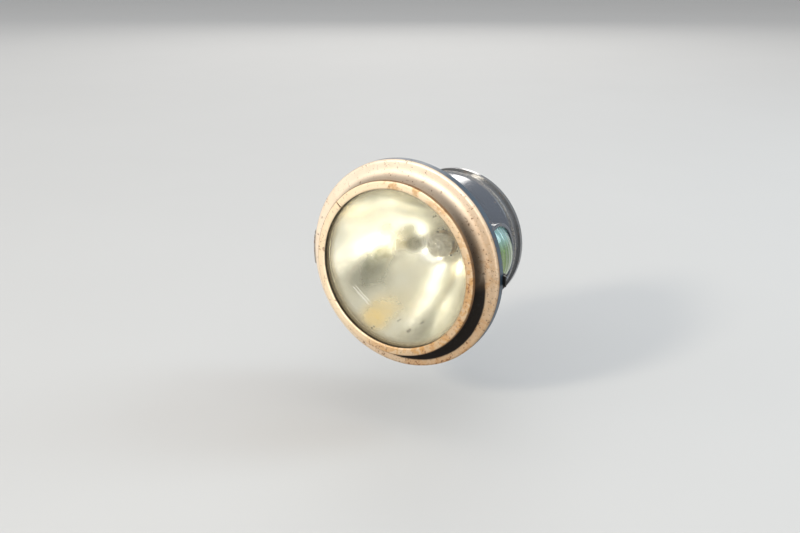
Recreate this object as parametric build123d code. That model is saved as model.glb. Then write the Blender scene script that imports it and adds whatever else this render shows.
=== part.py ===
from build123d import *
import math
import os

# Cowl side lamp of an antique touring car, left side. Millimetres.
# The lamp is drawn about its own axis: +Y rearward from the rim plane, +X outboard, +Z up.
# At the end every piece is moved so that the origin is the centre of the foot's mounting face.

# Sheet gauges and fits
door_sheet = 1.0  # spun brass of the door
body_sheet = 0.8  # spun steel of the drum and its back
reflector_sheet = 0.7
door_gap = 0.5  # door rim over the drum's mouth
running_gap = 0.06  # hinge pin in the door's knuckle, radial
side_gap = 0.3  # between neighbouring knuckles
free_gap = 0.3  # small pieces that lie beside each other
bond = 0.5  # joined shapes reach into each other

# Door: rim, cove, front wall and skirt
rim_r = 66.7
rim_roll = 1.6
skirt_depth = 6.5
face_width = 11.7  # from the rim's edge in to the wall
cove_r = 7.0
wall_front = 10.4  # front end of the wall ahead of the rim plane

# Bezel: split channel ring over the front of the wall
bezel_sheet = 0.9
bezel_bend = 1.2
bezel_side_play = 0.1  # outer leg over the wall
bezel_end_play = 0.2  # ring's face ahead of the wall
bezel_width = 5.4
bezel_hook = 2.4  # depth of the outer leg
lip_depth = 2.6  # depth of the inner leg
bezel_split = 0.9
bezel_split_angle = 137.0  # from outboard towards the top

# Lens and its seat
lens_edge = 2.6
lens_rise = 2.4
lens_play = 0.4  # lens inside the wall
dome_play = 0.2  # dome inside the bezel's lip
seat_sheet = 0.8
seat_depth = 1.8
seat_step = 0.2  # seat's opening outside the bezel's lip
gasket_depth = 0.6

# Drum
collar_depth = 6.6
collar_bend = 2.0
drum_inset = 20.7  # drum's wall inside the door's rim
shoulder_r = 8.0
drum_end = 73.2
bead_inset = 6.4  # bead ahead of the drum's end
bead_rise = 1.4
bead_half = 2.0
bead_bend = 1.2
seam_proud = 1.6
seam_depth = 2.8
spigot_depth = 5.0
back_rise = 11.0

# Reflector
mouth_play = 1.1  # reflector's lip inside the door's wall
mouth_front = 3.0  # mouth ahead of the rim plane
apex_station = 60.0
lip_width = 1.5
lip_step = 0.1
bowl_steps = 12
side_light_r = 7.0
side_light_station = 43.0
ring_play = 0.2  # mouth ring's edge inside the drum's edge

# Bulb and holder
globe_r = 8.4
glass_wall = 0.5
neck_r = 5.2
neck_hold = 2.4  # neck inside the cap
neck_bend = 2.5
cap_r = 7.3
cap_length = 15.0
focus_to_cap = 10.4
button_r = 1.7
button_depth = 0.8
pin_r = 0.9
pin_back = 7.4  # pins behind the cap's front end
socket_play = 0.1
socket_wall = 0.8
socket_lead = 0.6  # holder's tube ahead of the reflector's hole
socket_flange = 1.2
socket_flange_width = 4.2
hole_play = 0.15
slot_turn = 25.0
insulator_depth = 2.4
filament_r = 0.3
coil_r = 0.5
filament_span = 4.6

# Side jewel
jewel_station = 37.5
jewel_turn = 5.0  # turned up about the lamp axis
jewel_stand = 4.0  # ring's face outside the drum
jewel_ring_r = 20.5
jewel_wall = 1.3
jewel_ledge = 0.9
jewel_lip = 1.4
jewel_round = 0.56
jewel_glass_edge = 2.4
jewel_rise = 4.6
jewel_play = 0.3
keeper_r = 0.6

# Foot and bracket
cowl_flare = 25.0  # cowl side to the car's long axis
cowl_clearance = 10.5  # hinge to the cowl's face, square to the lamp's axis
foot_station = 44.0
foot_r = 24.0
foot_depth = 4.5
foot_round = 2.0
pad_depth = 2.0
pad_margin = 0.8
neck_inset = 11.5  # neck's root inside the foot's edge
neck_waists = [(0.3, 1.0), (0.5, 0.0)]  # place from foot to drum, extra radius
neck_waist_s = 11.0  # half width along the lamp
neck_waist_z = 9.8
neck_root_s = 13.0
neck_root_z = 11.0
saddle_length = 34.0
saddle_width = 32.0
saddle_depth = 2.6
saddle_corner = 6.0
saddle_rivet_inset = 5.0
cable_r = 4.5
stud_r = 2.5
stud_root_r = 3.0
stud_inset = 7.5
stud_count = 3
stud_reach = 16.0
rivet_r = 1.5
rivet_head_r = 2.7
rivet_head = 1.1

# Hinge on the inboard side, catch on the outboard side
hinge_reach = 2.8  # hinge axis outside the door's rim
hinge_pin_r = 1.2
knuckle_r = 2.3
knuckle_length = 9.0
end_knuckle = 5.0
leaf_sheet = 1.0
leaf_front = 1.0
web_depth = 2.5
fixed_leaf_depth = 1.2
leaf_inset = 1.5  # leaf's inner edge outside the drum's bend
leaf_rivet_inset = 3.5
leaf_rivet_z = 5.0
door_rivet_z = 6.4
small_rivet_r = 0.9
small_head_r = 1.7
small_head = 0.7
pin_head_r = 1.9
pin_head = 0.9
catch_width = 6.5
catch_sheet = 0.8
catch_nose = 3.8  # reach forward from the drum's shoulder
catch_flare = 2.4
catch_screw_r = 1.5
catch_screw_head_r = 2.6
catch_screw_head = 1.4
catch_screw_slot = 0.6
catch_root_bend = 0.6
catch_nose_bend = 1.0

# Derived stations and radii
shell_inner_r = rim_r - door_sheet
collar_r = shell_inner_r - door_gap
flange_front = door_sheet + door_gap
collar_front = flange_front + reflector_sheet
shoulder = collar_front + collar_depth
drum_r = rim_r - drum_inset
drum_inner_r = drum_r - body_sheet
bead_station = drum_end - bead_inset
seam_r = drum_r + seam_proud
wall_r = rim_r - face_width
wall_inner_r = wall_r - door_sheet
bezel_r = wall_r + bezel_side_play + bezel_sheet
bezel_front = wall_front + bezel_end_play + bezel_sheet
lens_open_r = bezel_r - bezel_width
lens_r = wall_inner_r - lens_play
dome_r = lens_open_r - dome_play
lens_front = bezel_front - lip_depth
lens_back = lens_front - lens_edge
seat_open_r = lens_open_r + seat_step
seat_front = lens_back - gasket_depth
leg_r = wall_inner_r - mouth_play
mouth_r = leg_r - lip_width
focal = mouth_r**2 / (4 * (apex_station + mouth_front))
focus_station = apex_station - focal
cap_front = focus_station + focus_to_cap
cap_back = cap_front + cap_length
pin_station = cap_front + pin_back
socket_r = cap_r + socket_play + socket_wall
bulb_hole_r = socket_r + hole_play
hole_slope = bulb_hole_r / (2 * focal)
hole_front = apex_station - bulb_hole_r * hole_slope / 2
flange_seat = hole_front + reflector_sheet / math.hypot(hole_slope, 1)
socket_front = hole_front - socket_lead
hook_turn = slot_turn + math.degrees(math.asin((pin_r + socket_play) / cap_r))
insulator_front = cap_back + button_depth
socket_end = insulator_front + insulator_depth
jewel_face = drum_r + jewel_stand
jewel_back = jewel_face - jewel_lip - jewel_glass_edge
jewel_seat_r = jewel_ring_r - jewel_wall
jewel_lip_r = jewel_seat_r - jewel_ledge
saddle_r = drum_r + saddle_depth
rivet_turn = math.degrees(math.asin((saddle_width / 2 - saddle_rivet_inset) / drum_r))
rivet_stations = [foot_station + side * (saddle_length / 2 - saddle_rivet_inset) for side in (-1, 1)]
stud_circle_r = foot_r - stud_inset
neck_foot_r = foot_r - neck_inset
hinge_out = rim_r + hinge_reach
hinge_station = shoulder
leaf_half = knuckle_length / 2 + side_gap + end_knuckle
door_rivet_top = rim_r + leaf_sheet + small_head
leaf_inner_r = drum_r + shoulder_r + leaf_inset
leaf_rivet_r = leaf_inner_r + leaf_rivet_inset
flare = math.radians(cowl_flare)
stand_off = hinge_out + cowl_clearance
foot_x = -(stand_off - math.sin(flare) * foot_station) / math.cos(flare)
cowl_normal = Vector(-math.cos(flare), math.sin(flare), 0)
cowl_rear = Vector(math.sin(flare), math.cos(flare), 0)
lamp_axis = Axis((0, 0, 0), (0, 1, 0))
to_frame = Pos(-foot_x, -foot_station, 0)


def ring(*points):
    # a ring about the lamp axis from a straight-sided section of (radius, station) points
    return revolve(make_face(Polyline(*points, close=True)), lamp_axis)


def band(inner, outer, front, back):
    return ring((inner, front), (outer, front), (outer, back), (inner, back))


def spun(path, gauge, side):
    # spun sheet: the path is its outer face in (radius, station)
    section = make_face(Wire(path.edges()).offset_2d(gauge, side=side))
    return revolve(section, lamp_axis)


def sheet_path(points, radii):
    return FilletPolyline(*points, radius=radii)


def rod(radius, start, end):
    # round bar from one point to another
    start = Vector(start)
    run = Vector(end) - start
    return extrude(Plane(start, z_dir=run) * Circle(radius), run.length)


def outward(angle, radius, station):
    # a point at an angle round the lamp axis, 0 outboard and 90 up
    turn = math.radians(angle)
    return Vector(radius * math.cos(turn), station, radius * math.sin(turn))


def door_shell():
    points = [(rim_r, skirt_depth), (rim_r, 0), (wall_r, 0), (wall_r, -wall_front)]
    path = sheet_path(points, [rim_roll, cove_r])
    return spun(path, door_sheet, Side.RIGHT)


def lens_seat():
    inner = wall_inner_r - seat_sheet
    back = -seat_front + seat_depth
    ledge = -seat_front + seat_sheet
    return ring(
        (seat_open_r, -seat_front),
        (wall_inner_r, -seat_front),
        (wall_inner_r, back),
        (inner, back),
        (inner, ledge),
        (seat_open_r, ledge),
    )


def lens_gasket():
    return band(seat_open_r, lens_r, -seat_front - gasket_depth, -seat_front)


def dome_arc(radius, base, rise):
    # arc of a shallow dome from its edge to the axis; a negative rise points forward
    ball = (radius**2 + rise**2) / (2 * abs(rise))
    height = abs(rise) - ball + math.sqrt(ball**2 - radius**2 / 4)
    half = base + math.copysign(height, rise)
    return ThreePointArc((radius, base), (radius / 2, half), (0, base + rise))


def lens_glass():
    front = dome_arc(dome_r, -lens_front, -lens_rise)
    back = dome_arc(dome_r, -lens_back, -lens_rise)
    rim = Polyline(front @ 0, (lens_r, -lens_front), (lens_r, -lens_back), back @ 0)
    return revolve(make_face([front, rim, back, Line(back @ 1, front @ 1)]), lamp_axis)


def bezel_ring():
    outer = [
        (bezel_r, -bezel_front + bezel_hook),
        (bezel_r, -bezel_front),
        (lens_open_r, -bezel_front),
        (lens_open_r, -bezel_front + lip_depth),
    ]
    path = sheet_path(outer, [bezel_bend, bezel_bend])
    channel = spun(path, bezel_sheet, Side.RIGHT)
    cut = Box(2 * bezel_r, 4 * bezel_front, bezel_split, align=(Align.MIN, Align.CENTER, Align.CENTER))
    return channel - Rot(0, -bezel_split_angle, 0) * Pos(0, -bezel_front, 0) * cut


def drum():
    points = [
        (collar_r, collar_front),
        (collar_r, shoulder),
        (drum_r, shoulder),
        (drum_r, bead_station - bead_half),
        (drum_r + bead_rise, bead_station),
        (drum_r, bead_station + bead_half),
        (drum_r, drum_end),
    ]
    path = sheet_path(points, [collar_bend, shoulder_r, bead_bend, bead_bend, bead_bend])
    shell = spun(path, body_sheet, Side.LEFT)
    jewel_way = rod(jewel_seat_r, (0, jewel_station, 0), outward(jewel_turn, jewel_face, jewel_station))
    holes = [shank for shank, _, _ in saddle_rivet_places() + leaf_rivet_places()]
    return shell - jewel_way - cable_bore() - holes - catch_shank()


def cable_bore():
    return rod(cable_r, (0, foot_station, 0), (2 * foot_x, foot_station, 0))


def back_cap():
    top = drum_end + seam_depth
    corner = [
        (drum_inner_r, drum_end - spigot_depth),
        (drum_inner_r, drum_end),
        (seam_r, drum_end),
        (seam_r, top),
    ]
    hem = Polyline(*corner)
    dome = dome_arc(seam_r, top, back_rise)
    return spun(hem + dome, body_sheet, Side.LEFT)


def bowl_point(radius, depth):
    # a point of the paraboloid, or of its back at a depth along the normal
    slope = radius / (2 * focal)
    run = math.hypot(slope, 1)
    station = apex_station - radius**2 / (4 * focal)
    return (radius + depth * slope / run, station + depth / run)


def reflector():
    radii = [bulb_hole_r + (mouth_r - bulb_hole_r) * i / bowl_steps for i in range(bowl_steps + 1)]
    bowl = Spline(*[bowl_point(r, 0) for r in radii])
    back = Spline(*[bowl_point(r, reflector_sheet) for r in reversed(radii)])
    lip = Polyline(
        bowl @ 1,
        (mouth_r, -mouth_front - reflector_sheet),
        (leg_r, -mouth_front - reflector_sheet),
        (leg_r, -mouth_front),
        ((back @ 0).X + lip_step, -mouth_front),
        back @ 0,
    )
    section = make_face([bowl, lip, back, Line(back @ 1, bowl @ 0)])
    start = (0, side_light_station, 0)
    side_light = rod(side_light_r, start, outward(jewel_turn, drum_inner_r, side_light_station))
    return revolve(section, lamp_axis) - side_light


def mouth_ring():
    # carries the reflector's lip on the drum's mouth
    edge_r = collar_r - ring_play
    return ring(
        (leg_r - reflector_sheet, -mouth_front),
        (leg_r, -mouth_front),
        (leg_r, flange_front),
        (edge_r, flange_front),
        (edge_r, collar_front),
        (leg_r - reflector_sheet, collar_front),
    )


def globe(radius, neck, end):
    ball = Pos(0, focus_station, 0) * Sphere(radius)
    stem = rod(neck, (0, focus_station, 0), (0, end, 0))
    body = ball + stem
    joint = body.edges().filter_by(GeomType.CIRCLE).sort_by(Axis.Y)[-2]
    return fillet(joint, neck_bend)


def bulb_glass():
    end = cap_front + neck_hold
    return globe(globe_r, neck_r, end) - globe(globe_r - glass_wall, neck_r - glass_wall, end)


def bulb_cap():
    body = rod(cap_r, (0, cap_front, 0), (0, cap_back, 0))
    button = rod(button_r, (0, cap_back, 0), (0, insulator_front, 0))
    bore = rod(neck_r, (0, cap_front, 0), (0, cap_front + neck_hold, 0))
    pins = [
        rod(pin_r, outward(angle, 0, pin_station), outward(angle, socket_r, pin_station))
        for angle in (90 - slot_turn, 270 - slot_turn)
    ]
    return body + button + pins - bore


def filament():
    foot = cap_front + neck_hold
    posts = [
        rod(filament_r, (0, focus_station, side * filament_span / 2), (0, foot, side * filament_span / 2))
        for side in (-1, 1)
    ]
    half = filament_span / 2 + coil_r
    coil = rod(coil_r, (0, focus_station, -half), (0, focus_station, half))
    return coil + posts


def bulb_holder():
    tube = band(cap_r + socket_play, socket_r, socket_front, socket_end)
    flange_r = socket_r + socket_flange_width
    flange = band(socket_r - bond, flange_r, flange_seat, flange_seat + socket_flange)
    width = 2 * (pin_r + socket_play)
    reach = socket_r + socket_play
    slots = []
    for angle in (90, 270):
        run = outward(angle, reach / 2, (socket_front + pin_station) / 2)
        cut = Box(width, pin_station - socket_front, reach)
        hook = make_face(
            Polyline(
                (cap_r, pin_station - width / 2),
                (socket_r, pin_station - width / 2),
                (socket_r, pin_station + width / 2),
                (cap_r, pin_station + width / 2),
                close=True,
            )
        )
        arc = Rot(0, -angle, 0) * revolve(hook, lamp_axis, hook_turn)
        slots += [Pos(run) * cut, arc]
    return tube + flange - slots


def insulator():
    return rod(cap_r + socket_play, (0, insulator_front, 0), (0, socket_end, 0))


def turned_jewel(*lines):
    # turned piece about the jewel's axis; the lines give (distance out, jewel_station + radius)
    axis = Axis((0, jewel_station, 0), (1, 0, 0))
    return Rot(0, -jewel_turn, 0) * revolve(make_face(lines), axis)


def jewel_ring():
    seat = jewel_station + jewel_seat_r
    edge = jewel_station + jewel_ring_r
    lip = jewel_station + jewel_lip_r
    base = drum_r / 2
    section = make_face(
        Polyline(
            (base, seat),
            (jewel_face - jewel_lip, seat),
            (jewel_face - jewel_lip, lip),
            (jewel_face, lip),
            (jewel_face, edge),
            (base, edge),
            close=True,
        )
    )
    rounded = fillet(section.vertices().sort_by(Axis.X)[-2:], jewel_round)
    axis = Axis((0, jewel_station, 0), (1, 0, 0))
    body = Rot(0, -jewel_turn, 0) * revolve(rounded, axis)
    return body - rod(drum_r, (0, 0, 0), (0, drum_end, 0))


def jewel_glass():
    seat = jewel_face - jewel_lip
    edge = jewel_station + jewel_seat_r - jewel_play
    base_r = jewel_lip_r - jewel_play
    ball = (base_r**2 + jewel_rise**2) / (2 * jewel_rise)
    half = seat + jewel_rise - ball + math.sqrt(ball**2 - base_r**2 / 4)
    dome = ThreePointArc(
        (seat, jewel_station + base_r),
        (half, jewel_station + base_r / 2),
        (seat + jewel_rise, jewel_station),
    )
    body = Polyline(
        dome @ 1, (jewel_back, jewel_station), (jewel_back, edge), (seat, edge), dome @ 0
    )
    return turned_jewel(dome, body)


def jewel_keeper():
    # spring wire ring behind the glass
    wire = Plane.XY * Pos(jewel_back - keeper_r, jewel_station + jewel_seat_r - keeper_r) * Circle(keeper_r)
    axis = Axis((0, jewel_station, 0), (1, 0, 0))
    return Rot(0, -jewel_turn, 0) * revolve(wire, axis)


def foot_plane(depth):
    # parallel to the cowl's face, its normal pointing into the lamp
    origin = Vector(foot_x, foot_station, 0) - cowl_normal * depth
    return Plane(origin, x_dir=cowl_rear, z_dir=-cowl_normal)


def under_saddle(radius):
    # round bar about the lamp axis, longer than the saddle
    return rod(radius, (0, foot_station - saddle_length, 0), (0, foot_station + saddle_length, 0))


def saddle():
    plate = Plane((-drum_r / 2, foot_station, 0), x_dir=(0, 1, 0), z_dir=(-1, 0, 0))
    outline = RectangleRounded(saddle_length, saddle_width, saddle_corner)
    return extrude(plate * outline, drum_r) & under_saddle(saddle_r)


def foot_neck():
    root = Plane((-drum_inner_r, foot_station, 0), x_dir=(0, 1, 0), z_dir=(1, 0, 0))
    face = foot_plane(pad_depth + foot_depth - bond)
    tilt = (root.z_dir + face.z_dir).normalized()
    side = Vector(0, 0, 1).cross(tilt)
    sections = [face * Circle(neck_foot_r)]
    for share, flare_r in neck_waists:
        place = face.origin * (1 - share) + root.origin * share
        waist = Ellipse(neck_waist_s + flare_r, neck_waist_z + flare_r)
        sections.append(Plane(place, x_dir=side, z_dir=tilt) * waist)
    return loft(sections + [root * Ellipse(neck_root_s, neck_root_z)])


def bracket():
    flange = extrude(foot_plane(pad_depth) * Circle(foot_r), foot_depth)
    rim = flange.edges().filter_by(GeomType.CIRCLE).sort_by(Axis.X)[-1]
    body = fillet(rim, foot_round) + foot_neck() + saddle()
    holes = [shank for shank, _, _ in saddle_rivet_places()]
    return body - under_saddle(drum_r) - cable_bore() - holes - studs()


def foot_pad():
    pad = extrude(foot_plane(0) * Circle(foot_r + pad_margin), pad_depth)
    return pad - cable_bore() - studs()


def studs():
    # thicker where they sit in the foot and the pad
    root = pad_depth + foot_depth / 2
    shank = extrude(Circle(stud_r), -stud_reach) + extrude(Circle(stud_root_r), root)
    places = PolarLocations(stud_circle_r, stud_count, 90)
    return Compound([foot_plane(0) * place * shank for place in places])


def saddle_rivet_places():
    # shank, outer head blank and inner head blank of each rivet
    low = drum_inner_r - rivet_head
    high = saddle_r + rivet_head
    places = []
    for station in rivet_stations:
        for side in (-1, 1):
            spoke = [outward(180 + side * rivet_turn, r, station) for r in (low, drum_r, high)]
            shank = rod(rivet_r, spoke[0], spoke[2])
            outer = rod(rivet_head_r, spoke[1], spoke[2])
            inner = rod(rivet_head_r, spoke[0], spoke[1])
            places.append((shank, outer, inner))
    return places


def bracket_rivets():
    rivets = []
    for shank, outer, inner in saddle_rivet_places():
        heads = outer - under_saddle(saddle_r) + (inner & under_saddle(drum_inner_r))
        rivets.append(shank + heads)
    return Compound(rivets)


def leaf_rivet_places():
    places = []
    back = shoulder + fixed_leaf_depth
    front = shoulder - body_sheet
    for side in (-1, 1):
        x, z = -leaf_rivet_r, side * leaf_rivet_z
        places.append(
            (
                rod(small_rivet_r, (x, front - small_head, z), (x, back + small_head, z)),
                rod(small_head_r, (x, back, z), (x, back + small_head, z)),
                rod(small_head_r, (x, front - small_head, z), (x, front, z)),
            )
        )
    return places


def leaf_rivets():
    return Compound([shank + outer + inner for shank, outer, inner in leaf_rivet_places()])


def door_rivet_places():
    station = (leaf_front + skirt_depth) / 2
    places = []
    for side in (-1, 1):
        angle = 180 + side * math.degrees(math.asin(door_rivet_z / rim_r))
        low, middle, high = [outward(angle, r, station) for r in (collar_r, rim_r, door_rivet_top)]
        places.append((rod(small_rivet_r, low, high), rod(small_head_r, middle, high)))
    return places


def door_rivets():
    rivets = []
    for shank, head in door_rivet_places():
        shank -= band(0, shell_inner_r, 0, skirt_depth)
        head -= band(0, rim_r + leaf_sheet, 0, skirt_depth)
        rivets.append(shank + head)
    return Compound(rivets)


def upright(radius, low, high):
    # round bar on the hinge's axis
    return rod(radius, (-hinge_out, hinge_station, low), (-hinge_out, hinge_station, high))


def hinge_pin():
    shank = upright(hinge_pin_r, -leaf_half - pin_head, leaf_half + pin_head)
    heads = [upright(pin_head_r, leaf_half, leaf_half + pin_head)]
    heads += [upright(pin_head_r, -leaf_half - pin_head, -leaf_half)]
    return shank + heads


def fixed_leaf():
    inner = knuckle_length / 2 + side_gap
    width = hinge_out - leaf_inner_r
    plate = Pos(-hinge_out, shoulder, -leaf_half) * Box(
        width, fixed_leaf_depth, 2 * leaf_half, align=(Align.MIN, Align.MIN, Align.MIN)
    )
    notch = Pos(-hinge_out, hinge_station, 0) * Box(2 * (knuckle_r + 2 * free_gap), 4 * knuckle_r, 2 * inner)
    knuckles = [upright(knuckle_r, inner, leaf_half), upright(knuckle_r, -leaf_half, -inner)]
    holes = [shank for shank, _, _ in leaf_rivet_places()]
    return plate - notch + knuckles - upright(hinge_pin_r, -2 * leaf_half, 2 * leaf_half) - holes


def door_leaf():
    half = knuckle_length / 2
    back = skirt_depth - free_gap
    strip = band(rim_r, rim_r + leaf_sheet, leaf_front, back)
    strip &= Pos(-rim_r, 0, 0) * Box(rim_r, 4 * rim_r, 2 * leaf_half)
    web_front = back - web_depth
    web = Pos(-hinge_out + knuckle_r / 2, (web_front + hinge_station) / 2, 0) * Box(
        knuckle_r, hinge_station - web_front, knuckle_length
    )
    web -= rod(rim_r, (0, 0, 0), (0, 2 * shoulder, 0))
    body = strip + web + upright(knuckle_r, -half, half)
    holes = [shank for shank, _ in door_rivet_places()]
    return body - upright(hinge_pin_r + running_gap, -leaf_half, leaf_half) - holes


def catch_spring():
    tongue = rim_r + free_gap
    path = sheet_path(
        [
            (leaf_inner_r, shoulder),
            (tongue, shoulder),
            (tongue, shoulder - catch_nose),
            (tongue + catch_flare, shoulder - catch_nose - catch_flare / 2),
        ],
        [catch_root_bend, catch_nose_bend],
    )
    section = make_face(Wire(path.edges()).offset_2d(catch_sheet, side=Side.LEFT))
    return extrude(section, catch_width / 2, both=True) - catch_shank()


def catch_shank():
    x = leaf_rivet_r
    back = shoulder + catch_sheet + catch_screw_head / 2
    return rod(catch_screw_r, (x, shoulder - 2 * body_sheet, 0), (x, back, 0))


def catch_screw():
    x = leaf_rivet_r
    back = shoulder + catch_sheet
    head = rod(catch_screw_head_r, (x, back, 0), (x, back + catch_screw_head, 0))
    edge = head.edges().sort_by(Axis.Y)[-1]
    head = fillet(edge, catch_screw_head / 2)
    slot = Box(catch_screw_slot, catch_screw_head, 3 * catch_screw_head_r)
    return head + catch_shank() - Pos(x, back + catch_screw_head, 0) * slot


parts = {
    "door_shell": door_shell() - [shank for shank, _ in door_rivet_places()],
    "lens_seat": lens_seat(),
    "lens_gasket": lens_gasket(),
    "lens_glass": lens_glass(),
    "bezel_ring": bezel_ring(),
    "door_leaf": door_leaf(),
    "door_rivets": door_rivets(),
    "drum": drum(),
    "back_cap": back_cap(),
    "mouth_ring": mouth_ring(),
    "reflector": reflector(),
    "bulb_glass": bulb_glass(),
    "bulb_cap": bulb_cap(),
    "bulb_filament": filament(),
    "bulb_holder": bulb_holder(),
    "holder_insulator": insulator(),
    "jewel_ring": jewel_ring(),
    "jewel_glass": jewel_glass(),
    "jewel_keeper": jewel_keeper(),
    "bracket": bracket(),
    "bracket_rivets": bracket_rivets(),
    "foot_pad": foot_pad(),
    "foot_studs": studs(),
    "fixed_leaf": fixed_leaf(),
    "leaf_rivets": leaf_rivets(),
    "hinge_pin": hinge_pin(),
    "catch_spring": catch_spring(),
    "catch_screw": catch_screw(),
}

os.makedirs("parts", exist_ok=True)
for name, shape in parts.items():
    export_step(to_frame * shape, f"parts/{name}.step")
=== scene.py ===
import math

import bmesh
import bpy
from mathutils import Matrix, Vector, noise


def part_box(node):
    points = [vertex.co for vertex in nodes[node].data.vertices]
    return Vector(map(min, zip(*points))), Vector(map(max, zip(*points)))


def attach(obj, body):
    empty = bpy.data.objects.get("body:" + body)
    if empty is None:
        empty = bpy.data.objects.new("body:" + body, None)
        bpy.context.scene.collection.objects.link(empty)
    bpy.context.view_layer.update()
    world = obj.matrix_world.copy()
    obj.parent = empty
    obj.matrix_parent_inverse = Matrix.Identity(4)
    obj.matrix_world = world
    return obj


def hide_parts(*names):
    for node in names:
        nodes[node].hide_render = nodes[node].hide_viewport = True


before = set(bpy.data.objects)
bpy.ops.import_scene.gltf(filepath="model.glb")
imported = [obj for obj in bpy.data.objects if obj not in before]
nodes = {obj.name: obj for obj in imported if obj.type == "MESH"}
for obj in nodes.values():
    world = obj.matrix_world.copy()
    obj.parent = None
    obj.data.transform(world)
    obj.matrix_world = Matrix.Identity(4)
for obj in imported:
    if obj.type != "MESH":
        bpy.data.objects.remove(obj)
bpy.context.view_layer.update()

scene = bpy.context.scene

mm = 0.001  # the pieces' sizes below are in mm
skirtDepth = 6.5  # the door's skirt behind the plane of its rim
jewelStation = 37.5  # the side jewel's middle behind the same plane
jewelHeight = 4.4  # and above the lamp's axis
jewelTurn = 5.0  # degrees about that axis, the turn that lifts it

# the middle of the door's rim, in metres: the lamp's own axis runs through it along Y
doorLow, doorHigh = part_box("door_shell")
lampCentre = ((doorLow[0] + doorHigh[0]) / 2, doorHigh[1] - skirtDepth * mm, 0.0)


# shader helpers

class Wire:  # a socket that can be used in a sum
    def __init__(self, finish, socket):
        self.finish = finish
        self.socket = socket

    def maths(self, operation, *values):
        return self.finish.node("ShaderNodeMath", {"operation": operation}, dict(enumerate(values)))

    def __add__(self, other):
        return self.maths("ADD", self, other)

    def __sub__(self, other):
        return self.maths("SUBTRACT", self, other)

    def __rsub__(self, other):
        return self.maths("SUBTRACT", other, self)

    def __mul__(self, other):
        return self.maths("MULTIPLY", self, other)

    def __truediv__(self, other):
        return self.maths("DIVIDE", self, other)

    __radd__ = __add__
    __rmul__ = __mul__

    def root(self):
        return self.maths("SQRT", self)

    def size(self):
        return self.maths("ABSOLUTE", self)

    def sine(self):
        return self.maths("SINE", self)

    def either(self, other):
        return self.maths("MAXIMUM", self, other)

    def step(self, low, high):  # smooth rise from 0 at low to 1 at high
        limits = {0: self, 1: min(low, high), 2: max(low, high), 3: 0.0, 4: 1.0}
        rise = self.finish.node("ShaderNodeMapRange", {"interpolation_type": "SMOOTHSTEP"}, limits)
        return rise if high > low else 1 - rise


class Finish:  # one material and its nodes
    def __init__(self, name):
        self.material = bpy.data.materials.new(name)
        self.material.use_nodes = True
        self.tree = self.material.node_tree
        self.tree.nodes.clear()
        self.place = self.node("ShaderNodeTexCoord", output=3)

    def node(self, kind, settings=None, inputs=None, output=0):
        made = self.tree.nodes.new(kind)
        for key, value in (settings or {}).items():
            setattr(made, key, value)
        for key, value in (inputs or {}).items():
            if isinstance(value, Wire):
                self.tree.links.new(value.socket, made.inputs[key])
            else:
                made.inputs[key].default_value = value
        return Wire(self, made.outputs[output]) if len(made.outputs) else made

    def vector(self, operation, a, b, output=0):
        return self.node("ShaderNodeVectorMath", {"operation": operation}, {0: a, 1: b}, output)

    def axis(self, wire, index):
        return self.node("ShaderNodeSeparateXYZ", {}, {0: wire}, index)

    def turned(self, turn, scale):
        return self.node("ShaderNodeMapping", {}, {0: self.place, 2: turn, 3: scale})

    def cloud(self, scale, detail=4.0, rough=0.55, place=None, distortion=0.0):
        values = {0: place or self.place, 2: scale, 3: detail, 4: rough, 8: distortion}
        return self.node("ShaderNodeTexNoise", {}, values)

    def cells(self, scale):
        return self.node("ShaderNodeTexVoronoi", {}, {0: self.place, 2: scale})

    def tint(self, share, a, b):
        return self.node("ShaderNodeMix", {"data_type": "RGBA"}, {0: share, 6: opaque(a), 7: opaque(b)}, 2)

    def bump(self, height, strength, depth):
        return self.node("ShaderNodeBump", {}, {0: strength, 1: depth, 3: height})

    def round(self):  # x, station behind the rim and z about the lamp's axis, and the radius, in mm
        local = self.vector("SUBTRACT", self.place, lampCentre)
        x, s, z = (self.axis(local, i) * 1000.0 for i in range(3))
        return x, s, z, (x * x + z * z).root()

    def spot(self, centre, radius, soft):  # 1 inside a ball about a place in lamp mm
        middle = tuple(a + b * mm for a, b in zip(lampCentre, centre))
        away = self.vector("DISTANCE", self.place, middle, 1) * 1000.0
        return away.step(radius * (1 + soft), radius * (1 - soft))

    def glint(self, **normal):  # clear glass's share of reflection: little face on, much at a low angle
        low = self.node("ShaderNodeLayerWeight", {}, {"Blend": 0.5, **normal}, 1)
        return low * low * low * low * low * 0.9 + 0.04

    def shader(self, **values):
        named = {key.replace("_", " "): value for key, value in values.items()}
        return self.node("ShaderNodeBsdfPrincipled", {}, named)

    def mixed(self, share, a, b):
        return self.node("ShaderNodeMixShader", {}, {0: share, 1: a, 2: b})

    def done(self, shader):
        self.node("ShaderNodeOutputMaterial", {}, {0: shader})
        return self.material


def opaque(value):
    return value if isinstance(value, Wire) or len(value) == 4 else (*value, 1)


# finishes

shellLook = {
    "pale": (0.90, 0.77, 0.62), "tanAndShade": (0.54, 0.39, 0.25), "gold": (0.50, 0.27, 0.10), "rust": (0.20, 0.08, 0.03),
    "darkShadeAndGrime": (0.010, 0.011, 0.013), "edge": (0.040, 0.071, 0.104),  # the edge is the skirt's blue enamel
    "topGold": 0.0, "mottle": 0.25,
}
bezelLook = {
    "pale": (0.90, 0.74, 0.53), "tanAndShade": (0.60, 0.44, 0.28), "gold": (0.55, 0.29, 0.09), "rust": (0.22, 0.085, 0.03),
    "darkShadeAndGrime": (0.020, 0.018, 0.014), "edge": (0.16, 0.075, 0.03),  # the edge is browned
    "topGold": 0.8, "mottle": 0.65,
}
pitBrown = (0.09, 0.055, 0.035)
wornBrown = (0.17, 0.07, 0.03)
chipBrown = (0.16, 0.08, 0.04)
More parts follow.
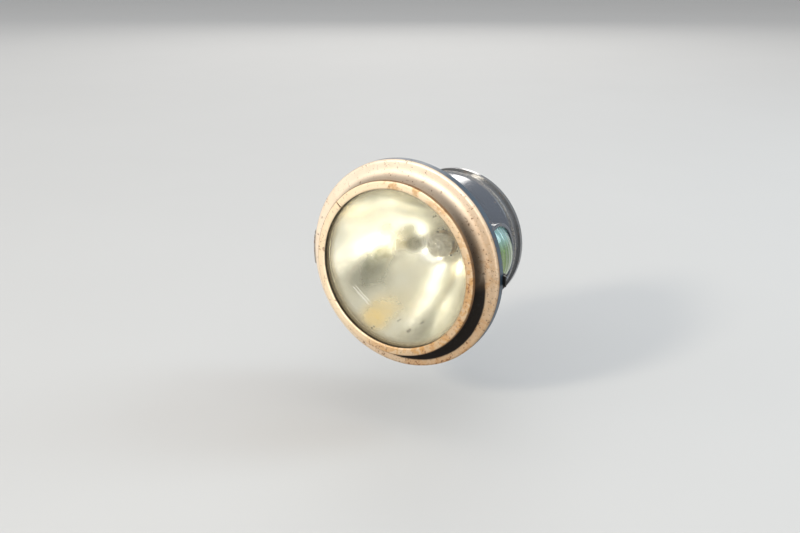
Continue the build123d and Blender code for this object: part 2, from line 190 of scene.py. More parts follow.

# painted shadow and shade, with some grime, in the corner between the shell's flat and its wall: the bezel's cast
# shadow is a circle shifted across and up, in mm from the lamp's axis
shadowAndGrime = {"across": 2.5, "up": -5.75, "radius": 56.8, "soft": 1.1, "outer": 61.5, "inner": 55.0}


def wornBrass(name, look, recess=False):
    f = Finish(name)
    x, s, z, r = f.round()
    broad = f.cloud(26, 3)
    patch = f.cloud(105, 5, 0.62, distortion=0.4)
    fine = f.cloud(560, 5, 0.65)
    grain = f.cloud(2600, 3, 0.6)
    scratch = f.cloud(60, 3, 0.5, f.turned((0.3, 0.6, 0.2), (1, 1, 34))).step(0.64, 0.70)
    side = (x * 0.80 - z * 0.60) / (r + 1)  # 1 on the outboard lower side
    top = (z + x * 0.25) / (r + 1)
    # tan towards the outboard lower side: painted shade, broken up by random tone
    base = f.tint((side + (broad - 0.5) * 0.9).step(-0.60, 1.10), look["pale"], look["tanAndShade"])
    gold = patch.step(0.48, 0.62) * (0.12 + top.step(0.72, 1.0) * look["topGold"] + side.step(0.2, 0.9) * 0.6)
    base = f.tint(gold * 0.7, base, look["gold"])
    mottle = f.cloud(330, 4, 0.6, distortion=0.5).step(0.47, 0.60) * side.step(0.0, 0.8)
    base = f.tint(mottle * look["mottle"], base, look["gold"])
    worn = side.step(-0.2, 0.8) * 0.03
    pits = (fine + worn).step(0.60, 0.68)
    rust = (patch * 0.45 + fine * 0.55 + worn).step(0.575, 0.64)
    base = f.tint(rust * 0.75, base, look["rust"])
    base = f.tint(pits * 0.5, base, pitBrown)
    rough = 0.46 + broad.step(0.3, 0.7) * 0.10 + fine * 0.12 + rust * 0.18
    metal = 0.88 - rust * 0.6
    if recess:
        # a crisp crescent on the outboard lower side, a painted cast shadow of the bezel, and a soft darkening all
        # round the corner, grime with painted shade that deepens on the outboard lower side
        across, up = x - shadowAndGrime["across"], z - shadowAndGrime["up"]
        away = (across * across + up * up).root() + (patch - 0.5) * 0.9
        castShadow = away.step(shadowAndGrime["radius"], shadowAndGrime["radius"] - shadowAndGrime["soft"])
        castShadow = castShadow * side.step(-0.25, 0.15) * (z / (r + 1)).step(0.42, -0.15)
        # grime with painted shade round the corner, deeper on the outboard lower side
        corner = r.step(shadowAndGrime["outer"], shadowAndGrime["inner"]) * (0.51 + side.step(-0.5, 0.9) * 0.40)
        shadeAndGrime = castShadow.either(corner)
        base = f.tint(shadeAndGrime * 0.97, base, look["darkShadeAndGrime"])
        wornLine = (s - patch * 0.8).step(0.7, 1.3)  # where the rim's roll meets the skirt
        base = f.tint(wornLine * 0.85, base, wornBrown)
        enamel = (s + (fine - 0.5) * 1.2).step(1.7, 2.3)
        base = f.tint(enamel, base, f.tint(pits, look["edge"], chipBrown))
        rough = rough + shadeAndGrime * 0.06 - enamel * 0.2
        metal = (metal + shadeAndGrime * 0.12) * (1 - enamel)
    else:
        edge = r.step(55.2, 55.9) * 0.8  # the bend to its outer wall
        inner = r.step(51.0, 50.7) * s.step(-11.2, -10.6)  # the lip that dips to the lens, darkened there: painted shade with some grime
        base = f.tint(edge, base, look["edge"])
        base = f.tint(inner * 0.95, base, look["darkShadeAndGrime"])
        rough = rough + edge * 0.15
    height = fine * 0.6 + grain * 0.25 - pits * 0.8 - scratch * 0.3
    normal = f.bump(height, 0.35, 0.0002)
    return f.done(f.shader(Base_Color=base, Metallic=metal, Roughness=rough, Normal=normal))


beadStation = 66.8  # the drum's bead behind the plane of the door's rim


def drumEnamel():
    f = Finish("drumEnamel")
    _, s, z, _ = f.round()
    broad = f.cloud(22, 3)
    patch = f.cloud(120, 5, 0.6)
    fine = f.cloud(900, 4, 0.65)
    dust = f.cloud(2400, 2, 0.6).step(0.55, 0.75) * z.step(-10, 45)
    chip = (fine * 0.6 + patch * 0.4).step(0.60, 0.635)
    edge = (s - beadStation).size().step(2.4, 0.4) * fine.step(0.45, 0.6)
    bare = chip.either(edge * 0.8)
    rear = s.step(62.5, 66.0)  # dust and wear from the bead backwards
    # the navy of the base is the enamel's near-black with a painted reflection of blue sky
    base = f.tint(broad.step(0.35, 0.7), (0.018, 0.030, 0.052), (0.034, 0.048, 0.074))
    base = f.tint(patch.step(0.5, 0.75) * 0.30, base, (0.075, 0.068, 0.062))
    base = f.tint(dust * 0.16, base, (0.30, 0.28, 0.26))
    base = f.tint(rear * (0.3 + fine * 0.5), base, (0.17, 0.165, 0.155))
    base = f.tint(bare, base, f.tint(chip, (0.34, 0.31, 0.27), (0.20, 0.105, 0.055)))
    rough = 0.17 + patch * 0.12 + dust * 0.18 + bare * 0.35
    height = patch * 0.5 + fine * 0.1 - bare * 0.5
    normal = f.bump(height, 0.28, 0.0002)
    coat = (1 - bare) * (0.9 - dust * 0.5)
    return f.done(f.shader(Base_Color=base, Metallic=bare * 0.6, Roughness=rough, Normal=normal,
                           Coat_Weight=coat, Coat_Roughness=0.10))


def castEnamel():
    f = Finish("castEnamel")
    broad = f.cloud(30, 4)
    sand = f.cloud(700, 5, 0.6)
    lump = f.cloud(150, 3, 0.5)
    fine = f.cloud(1500, 3)
    chip = (broad * 0.4 + sand * 0.6).step(0.605, 0.65)
    base = f.tint(broad.step(0.4, 0.7), (0.020, 0.022, 0.030), (0.045, 0.042, 0.045))
    base = f.tint(chip, base, (0.16, 0.075, 0.04))
    rough = 0.42 + sand * 0.25 + chip * 0.2
    height = sand * 0.6 + lump * 0.8 + fine * 0.15 - chip * 0.5
    normal = f.bump(height, 0.45, 0.0004)
    return f.done(f.shader(Base_Color=base, Metallic=chip * 0.4, Roughness=rough, Normal=normal,
                           Coat_Weight=0.25, Coat_Roughness=0.35))


# tarnish and painted reflections in the bowl, the patches paint reflected surroundings as tarnish; places in lamp
# mm: centre, radius, softness, strength, colour
bowlStainsAndReflections = [
    ((-25.5, 44.4, 2.7), 8.0, 0.5, 0.55, (0.34, 0.27, 0.10)),
    ((-19.8, 50.6, -1.5), 6.0, 0.5, 0.75, (0.11, 0.10, 0.055)),
    ((-33.0, 32.5, -3.0), 8.5, 0.7, 0.70, (0.16, 0.16, 0.10)),
    ((-37.0, 24.0, -12.0), 9.0, 0.7, 0.75, (0.15, 0.16, 0.115)),
    ((-39.5, 14.0, -20.0), 9.0, 0.7, 0.60, (0.17, 0.18, 0.13)),
    ((-23.5, 5.5, -41.6), 8.5, 0.7, 0.85, (1.0, 0.72, 0.25)),
    ((-22.2, 15.7, -36.9), 8.0, 0.8, 0.65, (1.0, 0.76, 0.33)),
    ((-14.0, 27.0, -34.0), 11.0, 0.8, 0.35, (0.97, 0.82, 0.52)),
    ((-32.1, 33.4, 9.3), 4.5, 0.8, 0.50, (0.48, 0.43, 0.27)),
    ((-21.6, 47.0, 8.9), 4.5, 0.8, 0.55, (0.42, 0.40, 0.27)),
    ((-32.4, 26.0, -19.4), 8.0, 0.8, 0.50, (0.30, 0.31, 0.25)),
]

# yellowed varnish low in the bowl, under the warm yellow patches that paint a reflection: centre, radius,
# softness, strength
bowlVarnishAndReflections = [
    ((-23.5, 5.5, -41.6), 8.5, 0.7, 1.0),
    ((-22.2, 15.7, -36.9), 8.0, 0.8, 0.7),
]


def silvered(name, bowl=False):
    f = Finish(name)
    *_, r = f.round()
    broad = f.cloud(30, 3, distortion=0.6)
    patch = f.cloud(120, 5, 0.6, distortion=0.8)
    fine = f.cloud(900, 4, 0.65)
    haze = broad.step(0.35, 0.7)
    base = f.tint(haze, (0.955, 0.94, 0.885), (0.89, 0.86, 0.75))
    base = f.tint(patch.step(0.56, 0.76) * 0.4, base, (0.55, 0.49, 0.32))
    speck = fine.step(0.68, 0.73)
    rough = 0.12 + haze * 0.07 + patch * 0.12 + speck * 0.3
    flake = speck * 0.6
    varnishAndReflection = 0.0
    if bowl:
        for centre, radius, soft, strength, colour in bowlStainsAndReflections:
            spot = f.spot(centre, radius, soft) * strength * (0.55 + patch * 0.9)
            base = f.tint(spot, base, colour)
            rough = rough + spot * 0.12
        around = (r - (patch - 0.5) * 3.0).step(11.5, 9.6)  # silver gone round the bulb's hole
        flake = flake.either(around * f.cells(430).step(0.40, 0.30))
        outer = r.step(49.5, 51.5) * 0.5
        base = f.tint(outer, base, (0.30, 0.22, 0.10))
        for centre, radius, soft, strength in bowlVarnishAndReflections:
            varnishAndReflection = (f.spot(centre, radius, soft) * strength).either(varnishAndReflection)
        varnishAndReflection = varnishAndReflection * (0.2 + patch * 0.7)
    base = f.tint(flake, base, (0.035, 0.030, 0.024))
    metal = (1 - varnishAndReflection) * (1 - flake * 0.8)
    normal = f.bump(patch * 0.7 + fine * 0.12, 0.22, 0.0003)
    return f.done(f.shader(Base_Color=base, Metallic=metal, Roughness=rough, Normal=normal))


# hairlines on the lens: start (x, z) in lamp mm, length, direction in degrees, strength
lensHairlines = [
    ((-31.1, -15.2), 17.0, -38.0, 0.80),
    ((-28.6, -18.6), 15.0, -35.0, 0.50),
    ((20.5, 30.0), 13.0, -58.0, 0.35),
]

# dark specks on the lens: x, z and radius in mm
lensSpecks = [
    (10.4, -38.8, 1.3),
    (3.6, -33.0, 0.8),
    (-16.4, -42.0, 0.9),
    (20.0, -31.5, 0.8),
    (27.5, 37.2, 0.8),
]


def lensGlass():
    f = Finish("lensGlass")
    x, _, z, r = f.round()
    patch = f.cloud(120, 3)
    broad = f.cloud(32, 4, 0.6)
    fine = f.cloud(1500, 4, 0.7)
    streak = f.cloud(42, 3, 0.55, f.turned((0, 0.9, 0), (1, 1, 22))).step(0.67, 0.70)
    specks = f.cloud(1100, 2, 0.5).step(0.70, 0.74)
    # more dirt and a browner film towards the rim of the lens: partly dirt, partly painted shade where the lens
    # meets the bezel
    edge = r.step(46.5, 50.4)
    low = (z + x * 0.3).step(-14, -44)
    dust = 0.02 + broad.step(0.35, 0.75) * 0.05 + edge * 0.22 + specks * 0.5 + streak * 0.08 + low * 0.05
    lines = 0.0
    for start, length, turn, depth in lensHairlines:
        a, c = math.cos(math.radians(turn)), math.sin(math.radians(turn))
        along = (x - start[0]) * a + (z - start[1]) * c
        across = (z - start[1]) * a - (x - start[0]) * c + (patch - 0.5) * 0.8
        line = across.size().step(0.20, 0.07) * along.step(0, 3) * along.step(length, length - 3)
        lines = line * depth + lines
    dots = 0.0
    for across, up, radius in lensSpecks:
        away = ((x - across) * (x - across) + (z - up) * (z - up)).root() + (fine - 0.5) * 0.3
        dots = away.step(radius, radius * 0.4).either(dots)
    dust = (dust * (0.75 + fine * 0.5) + lines).either(dots * 0.8)
    wave = f.bump(f.cloud(48, 2) + fine * 0.02, 0.12, 0.0004)
    soil = f.tint(edge, (0.62, 0.56, 0.40), (0.42, 0.33, 0.19))
    soil = f.tint(lines.step(0, 0.3), soil, (1.0, 0.98, 0.92))
    soil = f.tint(dots, soil, (0.06, 0.045, 0.02))
    film = f.shader(Base_Color=soil, Roughness=0.6, Normal=wave)
    gloss = f.node("ShaderNodeBsdfGlossy", {}, {0: (1, 1, 1, 1), 1: 0.03, 4: wave})
    clear = f.node("ShaderNodeBsdfTransparent", {}, {0: (0.985, 0.987, 0.968, 1)})
    return f.done(f.mixed(dust, f.mixed(f.glint(Normal=wave), clear, gloss), film))


def bulbGlass():
    f = Finish("bulbGlass")
    s = f.round()[1]
    fine = f.cloud(1200, 3)
    dust = 0.22 + s.step(44, 56) * 0.2 + f.cloud(240, 3).step(0.4, 0.7) * 0.2
    milk = f.tint(fine.step(0.4, 0.65), (0.80, 0.77, 0.68), (0.34, 0.30, 0.23))
    film = f.shader(Base_Color=milk, Roughness=0.5)
    gloss = f.node("ShaderNodeBsdfGlossy", {}, {0: (1, 1, 1, 1), 1: 0.02})
    clear = f.node("ShaderNodeBsdfTransparent", {}, {0: (0.96, 0.96, 0.93, 1)})
    return f.done(f.mixed(dust * (0.7 + fine * 0.4), f.mixed(f.glint(), clear, gloss), film))


def jewelGreenWithPaintedLight():
    f = Finish("jewelGreenWithPaintedLight")
    _, s, z, _ = f.round()
    seed = f.cloud(600, 3).step(0.68, 0.73)
    broad = f.cloud(70, 2)
    back = s - jewelStation
    up = z - jewelHeight
    out = (back * back + up * up).root()
    rib = ((back + broad * 1.5) * 1.75).sine()
    # cyan towards the top: a painted reflection of sky; yellow-green below
    body = f.tint((up + (broad - 0.5) * 6).step(1.0, 14.0), (0.50, 0.67, 0.17), (0.45, 0.82, 0.82))
    # darker in the middle of the dome: painted shade where the dark inside shows through
    body = f.tint((out + (broad - 0.5) * 4).step(15.0, 1.0) * 0.62, body, (0.02, 0.14, 0.05))
    # darker stripes along the ribs: painted shade of their refraction
    body = f.tint(rib.step(-0.2, 1.0) * (0.05 + broad * 0.30), body, (0.015, 0.09, 0.04))
    # a lighter lime band at the lower edge: painted light passing through the glass there
    body = f.tint(out.step(14.0, 17.6) * up.step(8, -2) * 0.5, body, (0.58, 0.72, 0.22))
    base = f.tint(seed * 0.5, body, (0.5, 0.65, 0.45))
    normal = f.bump(rib * 0.8 + seed * 0.1 + broad * 0.5, 0.30, 0.0007)
    return f.done(f.shader(Base_Color=base, Roughness=0.05 + seed * 0.2, IOR=1.55, Transmission_Weight=0.55,
                           Normal=normal, Coat_Weight=0.8, Coat_Roughness=0.03))


def rubber():
    f = Finish("rubber")
    fine = f.cloud(900, 4)
    patch = f.cloud(110, 4)
    base = f.tint(patch.step(0.4, 0.7), (0.022, 0.021, 0.020), (0.060, 0.055, 0.050))
    normal = f.bump(fine + patch * 0.6, 0.4, 0.0002)
    return f.done(f.shader(Base_Color=base, Roughness=0.68 + fine * 0.2, Normal=normal))


def wornSteel(name, bright=(0.50, 0.47, 0.43), rustShare=0.8):
    f = Finish(name)
    patch = f.cloud(160, 5, 0.62)
    fine = f.cloud(1400, 4, 0.6)
    drawn = f.cloud(300, 3, 0.5, f.turned((0, 0, 0), (1, 1, 14)))
    rust = (patch * 0.6 + fine * 0.4).step(0.50, 0.62) * rustShare
    base = f.tint(drawn, bright, tuple(0.6 * c for c in bright))
    base = f.tint(rust, base, wornBrown)
    rough = 0.30 + drawn * 0.15 + rust * 0.35
    normal = f.bump(fine * 0.4 + drawn * 0.3 + rust * 0.4, 0.35, 0.00015)
    return f.done(f.shader(Base_Color=base, Metallic=1 - rust * 0.8, Roughness=rough, Normal=normal))


def capBrass():
    f = Finish("capBrass")
    patch = f.cloud(220, 4, 0.6)
    fine = f.cloud(1500, 3)
    base = f.tint(patch.step(0.4, 0.7), (0.42, 0.32, 0.18), (0.20, 0.14, 0.08))
    normal = f.bump(fine, 0.25, 0.0001)
    return f.done(f.shader(Base_Color=base, Metallic=1.0, Roughness=0.28 + patch * 0.25, Normal=normal))


def fibre():
    f = Finish("fibre")
    weave = f.cloud(900, 5, 0.7, f.turned((0.4, 0, 0), (1, 5, 1)))
    base = f.tint(weave, (0.10, 0.045, 0.022), (0.22, 0.11, 0.055))
    return f.done(f.shader(Base_Color=base, Roughness=0.6 + weave * 0.2, Normal=f.bump(weave, 0.3, 0.0001)))


def paleFloor():
    f = Finish("paleFloor")
    base = f.tint(f.cloud(3, 3), (0.52, 0.517, 0.51), (0.54, 0.537, 0.53))
    return f.done(f.shader(Base_Color=base, Roughness=0.75 + f.cloud(9, 2) * 0.1))


shellFinish = wornBrass("shellBrassWithPaintedShade", shellLook, recess=True)
bezelFinish = wornBrass("bezelBrassWithPaintedShade", bezelLook)
bowlFinish = silvered("bowlSilverWithPaintedReflections", bowl=True)
mouthFinish = silvered("mouthSilver")
enamelFinish = drumEnamel()
castFinish = castEnamel()
steelFinish = wornSteel("wornSteel")
springFinish = wornSteel("springSteel", (0.10, 0.095, 0.09), 0.9)
rubberFinish = rubber()
threadFinish = wornSteel("threadSteel", (0.55, 0.53, 0.50), 0.5)
brassFinish = capBrass()
print("finishes made")


# mesh helpers

def profile(bm, points):  # open wire of (radius, station) points in mm
    corners = [bm.verts.new((r * mm, s * mm, 0)) for r, s in points]
    for a, b in zip(corners, corners[1:]):
        bm.edges.new((a, b))
    return corners


def roundOff(bm, corner, radius, segments):
    bmesh.ops.bevel(bm, geom=[corner], offset=radius * mm, offset_type="OFFSET", affect="VERTICES",
                    segments=segments, profile=0.5, material=-1)


def spinRound(bm, steps, angle=math.tau, axis=(0, -1, 0), step=(0, 0, 0)):
    geom = bm.verts[:] + bm.edges[:]
    whole = angle == math.tau and step == (0, 0, 0)
    bmesh.ops.spin(bm, geom=geom, cent=(0, 0, 0), axis=axis, dvec=step, angle=angle, steps=steps,
                   use_merge=whole, use_duplicate=False)


def arc(bm, start, centre, angle, steps):  # swings a point into an arc about Z and returns its last point
    first = bm.verts.new(start)
    swept = bmesh.ops.spin(bm, geom=[first], cent=centre, axis=(0, 0, 1), angle=angle, steps=steps,
                           use_duplicate=False)
    return next(v for v in swept["geom_last"] if isinstance(v, bmesh.types.BMVert))


def dome(bm, radius, rise, base, steps):  # arc of a dome that stands forward of the plane at base, in mm
    ball = (radius ** 2 + rise ** 2) / (2 * rise)
    return arc(bm, (0, -(base + rise) * mm, 0), (0, (ball - base - rise) * mm, 0), math.asin(radius / ball), steps)


def rod(bm, radius, length, segments):
    made = bmesh.ops.create_cone(bm, cap_ends=True, segments=segments, radius1=radius * mm, radius2=radius * mm,
                                 depth=length * mm)
    return made["verts"]


def turnOver(bm, verts, angle, axis):
    bmesh.ops.rotate(bm, verts=verts, cent=(0, 0, 0), matrix=Matrix.Rotation(angle, 3, axis))


def move(bm, verts, x, s, z):  # by a distance in mm
    bmesh.ops.translate(bm, verts=verts, vec=(x * mm, s * mm, z * mm))


def capEnds(bm):
    bmesh.ops.holes_fill(bm, edges=[e for e in bm.edges if e.is_boundary], sides=0)


def closeUp(bm):
    bmesh.ops.remove_doubles(bm, verts=bm.verts[:], dist=0.000002)
    bmesh.ops.recalc_face_normals(bm, faces=bm.faces[:])


def onLampAxis(bm):
    bmesh.ops.translate(bm, verts=bm.verts[:], vec=lampCentre)


def piece(bm, name, finish, body, node, crease=35):
    mesh = bpy.data.meshes.new(name)
    bm.to_mesh(mesh)
    bm.free()
    made = bpy.data.objects.new(name, mesh)
    scene.collection.objects.link(made)
    mesh.shade_smooth()
    mesh.set_sharp_from_angle(angle=math.radians(crease))
    mesh.materials.append(finish)
    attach(made, body)
    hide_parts(node)
    return made


def softEdges(made, width):
    edge = made.modifiers.new("edge", "BEVEL")
    edge.width = width * mm
    edge.segments = 2
    edge.limit_method = "ANGLE"
    edge.angle_limit = math.radians(40)
    edge.harden_normals = True


# the door's shell

shell = {"rim": 66.7, "skirt": skirtDepth, "wall": 55.0, "height": 10.4, "roll": 1.6, "cove": 7.0, "sheet": 1.0,
         "dent": 0.10, "edge": 0.15, "longRun": 2.4}


def makeShell():
    bm = bmesh.new()
    d = shell
    points = [(d["rim"], d["skirt"]), (d["rim"], 0), (d["wall"], 0), (d["wall"], -d["height"])]
    corners = profile(bm, points)
    roundOff(bm, corners[1], d["roll"], 10)
    roundOff(bm, corners[2], d["cove"], 16)
    longEdges = [e for e in bm.edges if e.calc_length() > d["longRun"] * mm]
    bmesh.ops.subdivide_edges(bm, edges=longEdges, cuts=3)
    spinRound(bm, 256)
    closeUp(bm)
    for v in bm.verts:  # hand-spun sheet is never quite true
        wave = noise.noise(v.co * 34) + 0.5 * noise.noise(v.co * 80 + Vector((3, 1, 2)))
        v.co += v.normal * wave * d["dent"] * mm
    outward = max(bm.faces, key=lambda face: face.calc_center_median().xz.length)
    centre = outward.calc_center_median()
    if outward.normal.dot(Vector((centre.x, 0, centre.z))) < 0:
        bmesh.ops.reverse_faces(bm, faces=bm.faces[:])
    bmesh.ops.solidify(bm, geom=bm.faces[:], thickness=d["sheet"] * mm)
    onLampAxis(bm)
    softEdges(piece(bm, "shell", shellFinish, "door", "door_shell"), d["edge"])


makeShell()
print("shell made")

# the bezel

bezel = {"radius": 56.0, "front": 11.5, "open": 50.6, "hook": 2.4, "lip": 2.6, "bend": 1.2, "sheet": 0.9,
         "split": 0.9, "splitAt": 137.0, "edge": 0.12, "longRun": 1.2}


def makeBezel():
    bm = bmesh.new()
    d = bezel
    points = [(d["radius"], d["hook"] - d["front"]), (d["radius"], -d["front"]), (d["open"], -d["front"]),
              (d["open"], d["lip"] - d["front"])]
    corners = profile(bm, points)
    roundOff(bm, corners[1], d["bend"], 7)
    roundOff(bm, corners[2], d["bend"], 7)
    longEdges = [e for e in bm.edges if e.calc_length() > d["longRun"] * mm]
    bmesh.ops.subdivide_edges(bm, edges=longEdges, cuts=2)
    gap = d["split"] / d["radius"]
    turnOver(bm, bm.verts[:], math.radians(d["splitAt"]) + gap / 2, (0, -1, 0))
    spinRound(bm, 240, math.tau - gap)
    bmesh.ops.recalc_face_normals(bm, faces=bm.faces[:])
    face = min(bm.faces, key=lambda each: each.calc_center_median().y)
    if face.normal.y > 0:
        bmesh.ops.reverse_faces(bm, faces=bm.faces[:])
    bmesh.ops.solidify(bm, geom=bm.faces[:], thickness=d["sheet"] * mm)
    onLampAxis(bm)
    softEdges(piece(bm, "bezel", bezelFinish, "door", "bezel_ring"), d["edge"])


makeBezel()
print("bezel made")

# the lens

lens = {"radius": 53.6, "dome": 50.4, "front": 8.9, "back": 6.3, "rise": 2.4}


def makeLens():
    bm = bmesh.new()
    d = lens
    ends = [dome(bm, d["dome"], d["rise"], d[side], 20) for side in ("front", "back")]
    edge = [bm.verts.new((d["radius"] * mm, -d[side] * mm, 0)) for side in ("front", "back")]
    for a, b in ((ends[0], edge[0]), (edge[0], edge[1]), (edge[1], ends[1])):
        bm.edges.new((a, b))
    spinRound(bm, 128)
    closeUp(bm)
    onLampAxis(bm)
    piece(bm, "lens", lensGlass(), "door", "lens_glass")


makeLens()
print("lens made")

# the side jewel

jewel = {"station": jewelStation, "turn": jewelTurn, "seat": 48.6, "back": 46.2, "radius": 18.9, "dome": 18.0,
         "rise": 7.4}


def makeJewel():
    bm = bmesh.new()
    d = jewel
    foot = dome(bm, d["dome"], d["rise"], d["seat"], 24)
    edge = profile(bm, [(d["radius"], -d["seat"]), (d["radius"], -d["back"]), (0, -d["back"])])
    bm.edges.new((foot, edge[0]))
    spinRound(bm, 96)
    closeUp(bm)
    turnOver(bm, bm.verts[:], math.radians(90), "Z")
    move(bm, bm.verts[:], 0, d["station"], 0)
    turnOver(bm, bm.verts[:], math.radians(d["turn"]), (0, -1, 0))
    onLampAxis(bm)
    piece(bm, "jewel", jewelGreenWithPaintedLight(), "lamp_body", "jewel_glass")


makeJewel()
print("jewel made")

# the reflector

bowl = {"mouth": 51.4, "lip": 52.9, "mouthAt": -3.0, "apex": 60.0, "hole": 8.35, "sheet": 0.7,
        "jewelHole": 7.0, "jewelHoleAt": 43.0, "drillOut": 30.0, "drillLength": 50.0}


def makeBowl():
    d = bowl
    focal = d["mouth"] ** 2 / (4 * (d["apex"] - d["mouthAt"]))
    bm = bmesh.new()
    ends = profile(bm, [(d["hole"], 0), (d["mouth"], 0), (d["lip"], 0)])
    inner = [e for e in bm.edges if ends[0] in e.verts]
    bmesh.ops.subdivide_edges(bm, edges=inner, cuts=39)
    spinRound(bm, 192)
    closeUp(bm)
    for v in bm.verts:  # the flat disc is drawn into a paraboloid
        radius = min(v.co.xz.length / mm, d["mouth"])
        v.co.y = (d["apex"] - radius ** 2 / (4 * focal)) * mm
    if sum(face.normal.y for face in bm.faces) > 0:
        bmesh.ops.reverse_faces(bm, faces=bm.faces[:])
    bmesh.ops.solidify(bm, geom=bm.faces[:], thickness=d["sheet"] * mm)
    onLampAxis(bm)
    made = piece(bm, "bowl", bowlFinish, "lamp_body", "reflector")
    drill = bmesh.new()  # for the hole that lights the jewel
    bar = rod(drill, d["jewelHole"], d["drillLength"], 64)
    turnOver(drill, bar, math.radians(90), "Y")
    move(drill, bar, d["drillOut"], d["jewelHoleAt"], 0)
    turnOver(drill, bar, math.radians(jewelTurn), (0, -1, 0))
    onLampAxis(drill)
    drillMesh = bpy.data.meshes.new("drill")
    drill.to_mesh(drillMesh)
    drill.free()
    cutter = bpy.data.objects.new("drill", drillMesh)
    scene.collection.objects.link(cutter)
    hole = made.modifiers.new("hole", "BOOLEAN")
    hole.object = cutter
    hole.solver = "EXACT"
    cut = bpy.data.meshes.new_from_object(made.evaluated_get(bpy.context.evaluated_depsgraph_get()))
    made.modifiers.clear()
    made.data = cut
    made.data.set_sharp_from_angle(angle=math.radians(35))
    bpy.data.objects.remove(cutter)


makeBowl()
print("reflector made")

# the bulb and its filament

bulb = {"focus": 49.516, "globe": 8.4, "wall": 0.5, "neck": 5.2, "neckEnd": 62.3, "blend": 1.2}
coil = {"radius": 0.55, "wire": 0.11, "length": 4.6, "turns": 11, "post": 0.22, "foot": 61.5}


def makeBulb():
    bm = bmesh.new()
    d = bulb
    middle = Vector((0, d["focus"] * mm, 0))
    sweep = math.pi - math.asin(d["neck"] / d["globe"])
    last = arc(bm, (0, (d["focus"] - d["globe"]) * mm, 0), middle, sweep, 40)
    end = bm.verts.new((d["neck"] * mm, d["neckEnd"] * mm, 0))
    bm.edges.new((last, end))
    spinRound(bm, 96)
    closeUp(bm)
    waist = [v for v in bm.verts if abs(v.co.y - last.co.y) < d["blend"] * mm]
    bmesh.ops.smooth_vert(bm, verts=waist, factor=0.5, use_axis_x=True, use_axis_y=True, use_axis_z=True)
    if sum(face.normal.dot(face.calc_center_median() - middle) for face in bm.faces) < 0:
        bmesh.ops.reverse_faces(bm, faces=bm.faces[:])
    bmesh.ops.solidify(bm, geom=bm.faces[:], thickness=d["wall"] * mm)
    onLampAxis(bm)
    piece(bm, "bulb", bulbGlass(), "lamp_body", "bulb_glass")


def makeFilament():
    bm = bmesh.new()
    d = coil
    wire = bmesh.ops.create_circle(bm, cap_ends=False, segments=8, radius=d["wire"] * mm)
    turnOver(bm, wire["verts"], math.radians(90), "X")
    move(bm, wire["verts"], d["radius"], 0, -d["length"] / 2)
    steps = d["turns"] * 16
    spinRound(bm, steps, d["turns"] * math.tau, (0, 0, 1), (0, 0, d["length"] / steps * mm))
    capEnds(bm)
    move(bm, bm.verts[:], 0, bulb["focus"], 0)
    for side in (-1, 1):
        post = rod(bm, d["post"], d["foot"] - bulb["focus"], 12)
        turnOver(bm, post, math.radians(90), "X")
        move(bm, post, 0, (d["foot"] + bulb["focus"]) / 2, side * d["length"] / 2)
    bmesh.ops.recalc_face_normals(bm, faces=bm.faces[:])
    onLampAxis(bm)
    piece(bm, "filament", steelFinish, "lamp_body", "bulb_filament")


makeBulb()
makeFilament()
print("bulb made")

# the foot's studs

stud = {"circle": 16.5, "angles": (90, 210, 330), "core": 2.1, "crest": 2.5, "root": 3.0, "reach": 16.0,
        "rootLength": 4.25, "coreTop": 0.5, "flare": 25.0}
thread = {"pitch": 0.8, "half": 0.336, "sunk": 0.05, "lead": 0.7, "length": 14.4, "stepsPerTurn": 20}


def makeStud():  # one stud along Z, its bare end down
    d = stud
    ridge = bmesh.new()
    low, high, half = d["core"] - thread["sunk"], d["crest"] - thread["sunk"], thread["half"]
    corners = [ridge.verts.new((r * mm, 0, z * mm)) for r, z in ((low, -half), (high, 0), (low, half))]
    for a, b in zip(corners, corners[1:] + corners[:1]):
        ridge.edges.new((a, b))
    turns = thread["length"] / thread["pitch"]
    steps = round(turns * thread["stepsPerTurn"])
    spinRound(ridge, steps, turns * math.tau, (0, 0, 1), (0, 0, thread["length"] / steps * mm))
    capEnds(ridge)
    move(ridge, ridge.verts[:], 0, 0, thread["lead"] - d["reach"])
    for radius, bottom, top in ((d["core"], -d["reach"], d["coreTop"]), (d["root"], 0.0, d["rootLength"])):
        move(ridge, rod(ridge, radius, top - bottom, 40), 0, 0, (top + bottom) / 2)
    bmesh.ops.recalc_face_normals(ridge, faces=ridge.faces[:])
    return ridge


def makeStuds():
    bm = bmesh.new()
    d = stud
    for angle in d["angles"]:
        ridge = makeStud()
        turn = math.radians(angle)
        move(ridge, ridge.verts[:], d["circle"] * math.cos(turn), d["circle"] * math.sin(turn), 0)
        part = bpy.data.meshes.new("stud")
        ridge.to_mesh(part)
        ridge.free()
        bm.from_mesh(part)
        bpy.data.meshes.remove(part)
    flare = math.radians(d["flare"])
    rear = Vector((math.sin(flare), math.cos(flare), 0))
    inward = Vector((math.cos(flare), -math.sin(flare), 0))  # from the foot's face into the lamp
    frameTurn = Matrix((rear, inward.cross(rear), inward)).transposed()
    bmesh.ops.transform(bm, matrix=frameTurn.to_4x4(), verts=bm.verts[:])
    piece(bm, "studs", threadFinish, "lamp_body", "foot_studs", crease=25)


makeStuds()
print("studs made")

# finishes of the pieces that stay as they are

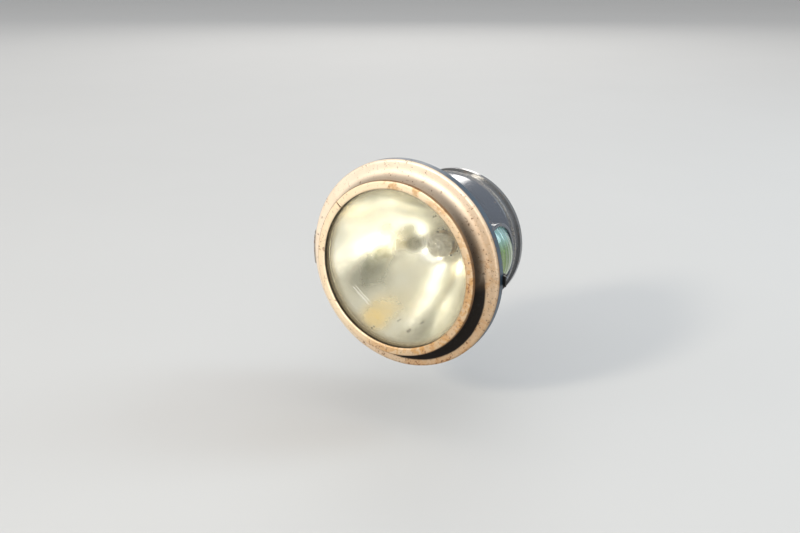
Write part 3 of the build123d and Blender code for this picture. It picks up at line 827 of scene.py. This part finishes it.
finishes = {
    "lens_seat": mouthFinish,
    "lens_gasket": rubberFinish,
    "door_leaf": steelFinish,
    "door_rivets": steelFinish,
    "drum": enamelFinish,
    "back_cap": enamelFinish,
    "mouth_ring": mouthFinish,
    "bulb_cap": brassFinish,
    "bulb_holder": brassFinish,
    "holder_insulator": fibre(),
    "jewel_ring": enamelFinish,
    "jewel_keeper": steelFinish,
    "bracket": castFinish,
    "bracket_rivets": castFinish,
    "foot_pad": rubberFinish,
    "fixed_leaf": steelFinish,
    "leaf_rivets": steelFinish,
    "hinge_pin": steelFinish,
    "catch_spring": springFinish,
    "catch_screw": springFinish,
}
for name, finish in finishes.items():
    nodes[name].material_slots[0].material = finish
print("finishes given")

# camera, floor and lights, in metres but for the camera's lens and sensor

camera = {"place": (0.3046, -0.5089, 0.1919), "lens": 45.0, "sensor": 36.0,  # place from the rim's middle
          "right": (0.8572, 0.5150, 0.0), "up": (-0.1591, 0.2649, 0.9511)}


def makeCamera():
    data = bpy.data.cameras.new("camera")
    data.lens = camera["lens"]
    data.sensor_width = camera["sensor"]
    data.clip_start = 0.01
    made = bpy.data.objects.new("camera", data)
    right, up = Vector(camera["right"]).normalized(), Vector(camera["up"]).normalized()
    turn = Matrix((right, up, right.cross(up))).transposed().to_4x4()
    made.matrix_world = Matrix.Translation(Vector(lampCentre) + Vector(camera["place"])) @ turn
    scene.collection.objects.link(made)
    scene.camera = made


floor = {"height": -0.105, "half": 14.0}  # metres, in the frame's own axes


def makeFloor():
    bm = bmesh.new()
    bmesh.ops.create_grid(bm, x_segments=1, y_segments=1, size=floor["half"])
    bmesh.ops.translate(bm, verts=bm.verts[:], vec=(0, 0, floor["height"]))
    mesh = bpy.data.meshes.new("floor")
    bm.to_mesh(mesh)
    bm.free()
    mesh.materials.append(paleFloor())
    made = bpy.data.objects.new("floor", mesh)
    scene.collection.objects.link(made)


lights = {  # azimuth and elevation from the lamp in degrees, distance, width, height, watts, colour
    "key": (-14, 28, 4.2, 0.60, 0.60, 87.0, (1.0, 0.92, 0.78)),
    "left": (-50, 24, 3.4, 1.3, 1.3, 6.0, (1.0, 0.95, 0.86)),
    "sky": (6, 36, 4.0, 5.6, 2.4, 56.0, (0.97, 0.98, 1.0)),
    "front": (10, 4, 1.5, 1.0, 0.30, 3.2, (1.0, 0.99, 0.97)),
    "near": (38, 11, 1.4, 0.75, 0.38, 2.3, (1.0, 0.99, 0.98)),
    "top": (180, 72, 4.4, 6.0, 4.0, 66.0, (0.90, 0.94, 1.0)),
    "rear": (-150, 22, 3.2, 1.8, 0.6, 16.0, (1.0, 0.97, 0.92)),
    "side": (129, 36, 1.9, 0.5, 1.0, 10.0, (0.76, 0.90, 1.0)),
}


def makeLights():
    aim = Vector(lampCentre)
    for name, (azimuth, elevation, away, width, height, watts, colour) in lights.items():
        data = bpy.data.lights.new(name, "AREA")
        data.shape = "RECTANGLE"
        data.size = width
        data.size_y = height
        data.energy = watts
        data.color = colour
        made = bpy.data.objects.new(name, data)
        a, e = math.radians(azimuth), math.radians(elevation)
        made.location = aim + away * Vector((math.sin(a) * math.cos(e), -math.cos(a) * math.cos(e), math.sin(e)))
        made.rotation_euler = (aim - made.location).to_track_quat("-Z", "Y").to_euler()
        scene.collection.objects.link(made)
    world = bpy.data.worlds.new("studio")
    world.use_nodes = True
    air = world.node_tree.nodes["Background"]
    air.inputs["Color"].default_value = (0.86, 0.87, 0.88, 1)
    air.inputs["Strength"].default_value = 0.62
    scene.world = world
    scene.view_settings.view_transform = "Standard"


makeCamera()
makeFloor()
makeLights()
print("camera, floor and lights made")
